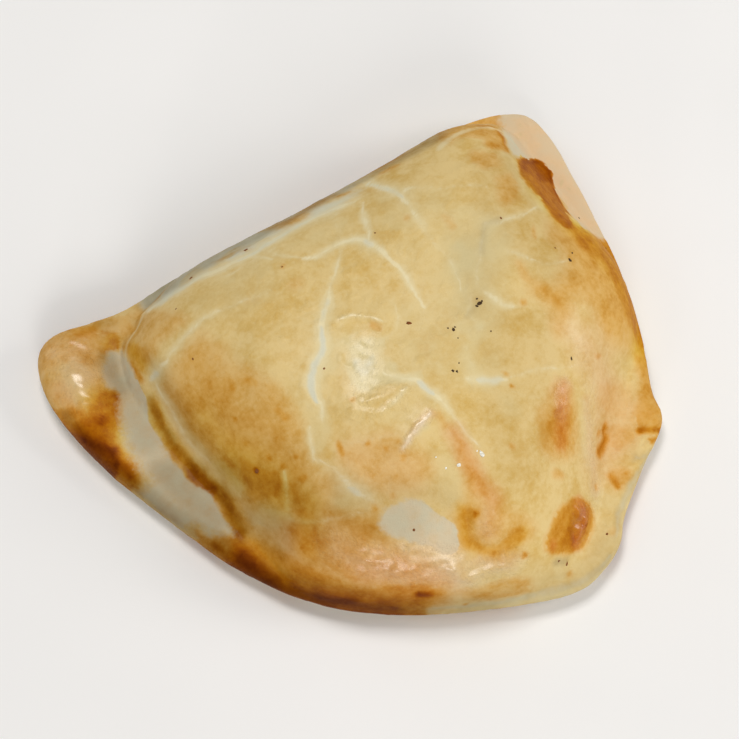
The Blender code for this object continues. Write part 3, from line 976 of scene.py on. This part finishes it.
def noiseNode(tree, scale, detail):
    where = tree.nodes.new("ShaderNodeTexCoord")
    node = tree.nodes.new("ShaderNodeTexNoise")
    tree.links.new(where.outputs["Object"], node.inputs["Vector"])
    feed(tree, node.inputs["Scale"], scale)
    feed(tree, node.inputs["Detail"], detail)
    node.inputs["Roughness"].default_value = 0.55
    return node.outputs[0]


def mottleGroup():  # soft blotches, from -1 to 1
    tree, given, made = startGroup("mottle", [("Size", 5.0), ("Detail", 3.0)], "Value")
    scale = calculate(tree, "DIVIDE", 1000.0, given["Size"])
    spread = noiseNode(tree, scale, given["Detail"])
    feed(tree, made, calculate(tree, "MULTIPLY_ADD", spread, 4.0, -2.0))
    return tree


def raggedGroup():  # a mask with a torn edge from a field
    settings = [("Field", 0.0), ("Edge", 0.0), ("Jitter", 0.2), ("Size", 1.0), ("Softness", 0.1)]
    tree, given, made = startGroup("raggedEdge", settings, "Mask")
    scale = calculate(tree, "DIVIDE", 1000.0, given["Size"])
    jitter = calculate(tree, "SUBTRACT", noiseNode(tree, scale, 4.0), 0.5)
    field = calculate(tree, "MULTIPLY_ADD", jitter, given["Jitter"], given["Field"])
    low = calculate(tree, "SUBTRACT", given["Edge"], given["Softness"])
    high = calculate(tree, "ADD", given["Edge"], given["Softness"])
    feed(tree, made, rangeOf(tree, field, low, high))
    return tree


mottle = mottleGroup()
raggedEdge = raggedGroup()


def startMaterial(name):
    material = bpy.data.materials.new(name)
    material.use_nodes = True
    return material, material.node_tree, material.node_tree.nodes["Principled BSDF"]


# The crust's finish
crustFinish = {
    "goldLight": (0.755, 0.568, 0.25, 1),
    "goldDeep": (0.655, 0.44, 0.132, 1),
    "paleAndSheen": (0.72, 0.6, 0.315, 1),
    "paleCrackAndGlint": (0.79, 0.68, 0.4, 1),
    "crackLineAndGlint": (0.86, 0.78, 0.52, 1),
    "crackCore": (0.69, 0.665, 0.5, 1),
    "bareGrey": (0.645, 0.59, 0.42, 1),
    "barePeach": (0.77, 0.548, 0.32, 1),
    "thinGlaze": (0.66, 0.52, 0.28, 1),
    "underDough": (0.6, 0.5, 0.34, 1),
    "bakedBase": (0.42, 0.25, 0.1, 1),
    "blushTint": (1.0, 0.77, 0.98, 1),
    "browningLaw": ((1.25, 1.8), (2.5, 1.3), (10.0, 1.6)),  # how red, green and blue fall: rate, power
    "deepest": 1.5,
    # colour of the painted shade
    "shadeTint": (0.6, 0.56, 0.5, 1),
    "yolkTint": (0.98, 0.94, 0.2, 1),
    "mottles": ((14.0, 2.0), (4.0, 3.0), (1.1, 3.0), (0.32, 2.0)),  # size mm and detail, broad to grain
    "goldMiddle": 0.42,
    "goldShares": (0.35, 0.42, 0.24, 0.08),  # of each mottle
    "toastShares": (0.2, 0.11, 0.04),  # of the three finer ones
    "toastSteady": (0.3, 0.8, 1.0, 0.45),  # deep browning is less blotched
    "toastFreckles": (0.6, 1.4, 0.0, 0.06),
    "toastOpened": -0.65,  # cracks and veils brown less
    "paleLineShare": 0.66,
    "lineShare": 0.5,
    "peachRange": (-1.0, 1.2, 0.0, 0.45),
    "peachBlush": 1.6,
    "filmRange": (0.15, 1.3, 0.0, 0.55),
    "masks": {  # edge, jitter, size mm, softness
        "pale": (0.46, 0.46, 1.3, 0.42),
        "line": (0.45, 0.5, 0.8, 0.35),
        "core": (0.5, 0.4, 1.5, 0.48),
        "bare": (0.0, 0.6, 0.9, 0.32),
        "under": (0.5, 0.6, 2.0, 0.35),
    },
    "roughness": 0.55,
    "mattRoughness": 0.22,
    "specular": 0.03,
    "coat": 0.05,
    "crinkleCoat": 0.9,
    "coatRoughness": 0.24,
    "bumpDistance": 0.18 * mm,
    "bumps": (0.17, 0.09, 0.55),  # of the small mottle, the grain and the wrinkles
}


def browningStops(count=13):
    stops = []
    for i in range(count):
        share = (i / (count - 1)) ** 1.8
        depth = share * crustFinish["deepest"]
        colour = [math.exp(-rate * depth ** power) for rate, power in crustFinish["browningLaw"]]
        stops.append((share, colour))
    return stops


def crustMaterial():
    material, tree, shader = startMaterial("bakedCrust")
    look = crustFinish
    times = partial(calculate, tree, "MULTIPLY")
    fit = partial(calculate, tree, "MULTIPLY_ADD")
    mix = partial(blendColour, tree)
    tinted = partial(blendColour, tree, blend="MULTIPLY")
    inRange = partial(rangeOf, tree)
    read = partial(readField, tree)
    mottles = [useGroup(tree, mottle, Size=size, Detail=detail) for size, detail in look["mottles"]]
    _, middle, small, grain = mottles

    def mask(name):
        edge, jitter, size, softness = look["masks"][name]
        return useGroup(
            tree, raggedEdge, Field=read(name), Edge=edge, Jitter=jitter, Size=size, Softness=softness
        )

    tone = look["goldMiddle"]
    for blotches, share in zip(mottles, look["goldShares"]):
        tone = fit(blotches, share, tone)
    paleAndSheen, paleMarked, core = read("paleAndSheen"), mask("pale"), mask("core")
    opened = calculate(tree, "MAXIMUM", calculate(tree, "MAXIMUM", paleAndSheen, paleMarked), core)

    uneven = 0.0
    for blotches, share in zip(mottles[1:], look["toastShares"]):
        uneven = fit(blotches, share, uneven)
    toast = read("toast")
    toast = times(toast, fit(uneven, inRange(toast, *look["toastSteady"]), 1.0))
    toast = times(toast, fit(opened, look["toastOpened"], 1.0))
    toast = calculate(tree, "ADD", toast, inRange(tone, *look["toastFreckles"]))
    burnt = colourRamp(tree, calculate(tree, "DIVIDE", toast, look["deepest"]), browningStops())

    gold = mix(inRange(tone, 0.0, 1.0), look["goldLight"], look["goldDeep"])
    # pale glaze, and painted highlight in some places
    gold = mix(paleAndSheen, gold, look["paleAndSheen"])
    # pale cracks, and painted highlights on the pleat, arch and swirl ridges
    gold = mix(times(paleMarked, look["paleLineShare"]), gold, look["paleCrackAndGlint"])
    gold = mix(times(mask("line"), look["lineShare"]), gold, look["crackLineAndGlint"])
    glazed = tinted(1.0, mix(core, gold, look["crackCore"]), burnt)
    glazed = tinted(times(read("yolk"), fit(small, 0.1, 0.95)), glazed, look["yolkTint"])
    glazed = tinted(times(read("blush"), fit(small, 0.2, 1.0)), glazed, look["blushTint"])

    bareMask = mask("bare")
    peach = fit(read("blush"), look["peachBlush"], inRange(middle, *look["peachRange"]))
    peach = mix(peach, look["bareGrey"], look["barePeach"])
    peach = mix(inRange(fit(small, 0.6, middle), *look["filmRange"]), peach, look["thinGlaze"])
    surface = mix(bareMask, glazed, peach)
    # painted shade darkens the surface with the shade tint
    shaded = times(read("paintedShade"), fit(middle, 0.12, 0.95))
    for level in (0.0, 1.0):  # painted shade: past 1 the shade tint is laid on twice
        share = calculate(tree, "SUBTRACT", shaded, level)
        share.node.use_clamp = True
        surface = tinted(share, surface, look["shadeTint"])
    underMask = mask("under")
    surface = mix(underMask, surface, tinted(1.0, look["underDough"], burnt))
    baseTone = mix(inRange(middle, -1.2, 1.0), look["bakedBase"], look["underDough"])
    surface = mix(read("base"), surface, baseTone)
    feed(tree, shader.inputs["Base Color"], surface)

    matt = calculate(tree, "MAXIMUM", bareMask, underMask)
    rough = fit(matt, look["mattRoughness"], fit(small, 0.05, look["roughness"]))
    feed(tree, shader.inputs["Roughness"], rough)
    shine = fit(read("crinkle"), look["crinkleCoat"], look["coat"])
    feed(tree, shader.inputs["Coat Weight"], times(shine, calculate(tree, "SUBTRACT", 1.0, matt)))
    shader.inputs["Specular IOR Level"].default_value = look["specular"]
    shader.inputs["Coat Roughness"].default_value = look["coatRoughness"]

    wrinkled = times(useGroup(tree, mottle, Size=0.85, Detail=2.0), inRange(read("crinkle"), 0.0, 0.4))
    height = 0.0
    for bumps, share in zip((small, grain, wrinkled), look["bumps"]):
        height = fit(bumps, share, height)
    bump = tree.nodes.new("ShaderNodeBump")
    bump.inputs["Distance"].default_value = look["bumpDistance"]
    feed(tree, bump.inputs["Height"], height)
    feed(tree, shader.inputs["Normal"], bump.outputs[0])
    return material


crustData.materials.clear()
crustData.materials.append(crustMaterial())
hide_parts("empanada")
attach(crustPiece, "root")
print("crust finished")


# Flecks and crumbs, each placed by its pixel and pressed into the crust: x, y, size in mm, how long it is
charredFlecks = {
    "tint": (0.045, 0.024, 0.01, 1),
    "spots": [
        (479.5, 303, 0.95, 1.2), (477, 306, 0.6, 1.3), (482, 301, 0.55, 1.2), (477, 298.5, 0.5, 1.2),
        (453.5, 329.5, 0.75, 1.1), (455, 327, 0.4, 1.1), (448, 328, 0.4, 1.1), (491, 331, 0.4, 1.1),
        (453, 371, 0.6, 1.2), (457, 371.5, 0.5, 1.2), (459, 363, 0.3, 1.2), (570, 260, 0.8, 1.4),
        (572, 253, 0.45, 1.2), (579, 218, 0.55, 1.1), (571, 358.5, 0.55, 1.6), (458, 338, 0.3, 1.3),
    ],
}
brownFlecks = {
    "tint": (0.15, 0.05, 0.012, 1),
    "spots": [
        (409, 323, 0.75, 1.7), (414, 530, 0.6, 1.1), (324, 368.5, 0.5, 1.1), (193, 359, 0.5, 1.3),
        (257, 471, 0.9, 1.6), (607, 534, 0.6, 1.2), (246, 250, 0.9, 1.3), (191, 278, 0.75, 1.4),
        (176, 309, 0.4, 1.2), (606, 248, 0.4, 1.3), (559, 561, 0.55, 1.2), (567, 564, 0.6, 1.6),
        (282, 267, 0.4, 1.2), (375, 233, 0.4, 1.2), (501, 218, 0.45, 1.4), (555, 248, 0.4, 1.2),
    ],
}
paleCrumbs = {
    "tint": (0.66, 0.61, 0.48, 1),
    "spots": [
        (482, 454, 1.0, 1.6), (459, 465, 0.8, 1.5), (477, 451, 0.4, 1.2),
        (446, 468, 0.45, 1.4), (436, 457, 0.35, 1.2),
    ],
}


fleckShape = {
    "lumps": 0.55,
    "lumpLength": 0.35,  # both to its size, as are the next two
    "flatness": 0.42,
    "sunk": 0.05,
    "lighter": 1.9,
    "roughness": 0.62,
    "specular": 0.15,
}


def fleckPiece(name, look, seed):
    rng = random.Random(seed)
    bm = bmesh.new()
    for x, y, size, stretch in look["spots"]:
        place, normal, _, _ = finishedTree.find_nearest(seenAt(x, y))
        ball = bmesh.ops.create_icosphere(bm, subdivisions=2, radius=size * mm / 2)["verts"]
        for point in ball:
            where = point.co / (fleckShape["lumpLength"] * size * mm) + Vector((x, y, 0))
            point.co *= 1 + fleckShape["lumps"] * noise.noise(where)
        bmesh.ops.scale(bm, vec=(stretch, 1, fleckShape["flatness"]), verts=ball)
        turn = Matrix.Rotation(rng.uniform(0, math.tau), 3, "Z")
        stand = normal.to_track_quat("Z", "Y").to_matrix()
        bmesh.ops.rotate(bm, cent=(0, 0, 0), matrix=stand @ turn, verts=ball)
        bmesh.ops.translate(bm, vec=place - normal * size * fleckShape["sunk"] * mm, verts=ball)
    return meshPiece(name, bm)


def fleckMaterial(name, look):
    material, tree, shader = startMaterial(name)
    small = useGroup(tree, mottle, Size=0.3, Detail=2.0)
    lighter = [min(1.0, part * fleckShape["lighter"]) for part in look["tint"]]
    colour = blendColour(tree, rangeOf(tree, small, -0.9, 0.9), look["tint"], lighter)
    feed(tree, shader.inputs["Base Color"], colour)
    rough = calculate(tree, "MULTIPLY_ADD", small, 0.08, fleckShape["roughness"])
    feed(tree, shader.inputs["Roughness"], rough)
    shader.inputs["Specular IOR Level"].default_value = fleckShape["specular"]
    return material


finishedTree = treeOf(places)
for name, look, seed in (
    ("charredFlecks", charredFlecks, 3), ("brownFlecks", brownFlecks, 5), ("paleCrumbs", paleCrumbs, 8)
):
    flecks = fleckPiece(name, look, seed)
    flecks.data.materials.append(fleckMaterial(name, look))
    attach(flecks, "root")
print("flecks pressed in")


# Floor and light
studio = {
    "floorSize": 3.0,
    "floorTint": (0.9, 0.895, 0.885, 1),
    "skyTint": (0.93, 0.96, 1.0, 1),
    "skyStrength": 0.25,
    "lamps": {  # azimuth, elevation, distance m, side m, watts, tint
        "overhead": (174, 71, 0.9, 0.28, 3.6, (1.0, 0.97, 0.93)),
        "right": (66, 30, 0.9, 0.3, 2.5, (1.0, 0.97, 0.93)),
        "front": (-20, 30, 0.9, 0.3, 2.15, (1.0, 0.97, 0.94)),
        "back": (-150, 24, 0.9, 0.3, 0.3, (1.0, 0.98, 0.96)),
        "low front": (-37, 11, 0.9, 0.13, 0.72, (1.0, 0.97, 0.94)),
        "low right": (65, 4, 0.9, 0.1, 0.28, (1.0, 0.97, 0.95)),
    },
}


def makeFloor():
    bm = bmesh.new()
    bmesh.ops.create_grid(bm, x_segments=2, y_segments=2, size=studio["floorSize"] / 2)
    bmesh.ops.translate(bm, vec=(0, 0, -0.1 * mm), verts=bm.verts)
    floor = meshPiece("floor", bm)
    material, tree, shader = startMaterial("paleFloor")
    cloud = useGroup(tree, mottle, Size=60.0, Detail=2.0)
    whiter = [min(1.0, part * 1.02) for part in studio["floorTint"]]
    tint = blendColour(tree, rangeOf(tree, cloud, -1.0, 1.0), studio["floorTint"], whiter)
    feed(tree, shader.inputs["Base Color"], tint)
    shader.inputs["Roughness"].default_value = 0.9
    floor.data.materials.append(material)


def makeLamp(name, azimuth, elevation, distance, side, watts, tint):
    data = bpy.data.lights.new(name, "AREA")
    data.shape = "SQUARE"
    data.size = side
    data.energy = watts
    data.color = tint
    out = directionFrom(azimuth, elevation)
    standAt(name, data, out * distance, out)


def makeSky():
    world = bpy.data.worlds.new("studio")
    world.use_nodes = True
    sky = world.node_tree.nodes["Background"]
    sky.inputs[0].default_value = studio["skyTint"]
    sky.inputs[1].default_value = studio["skyStrength"]
    bpy.context.scene.world = world


makeFloor()
for name, facts in studio["lamps"].items():
    makeLamp(name, *facts)
makeSky()
makeCamera()
bpy.context.scene.view_settings.view_transform = "Standard"
bpy.context.scene.view_settings.look = "None"
print("studio set")
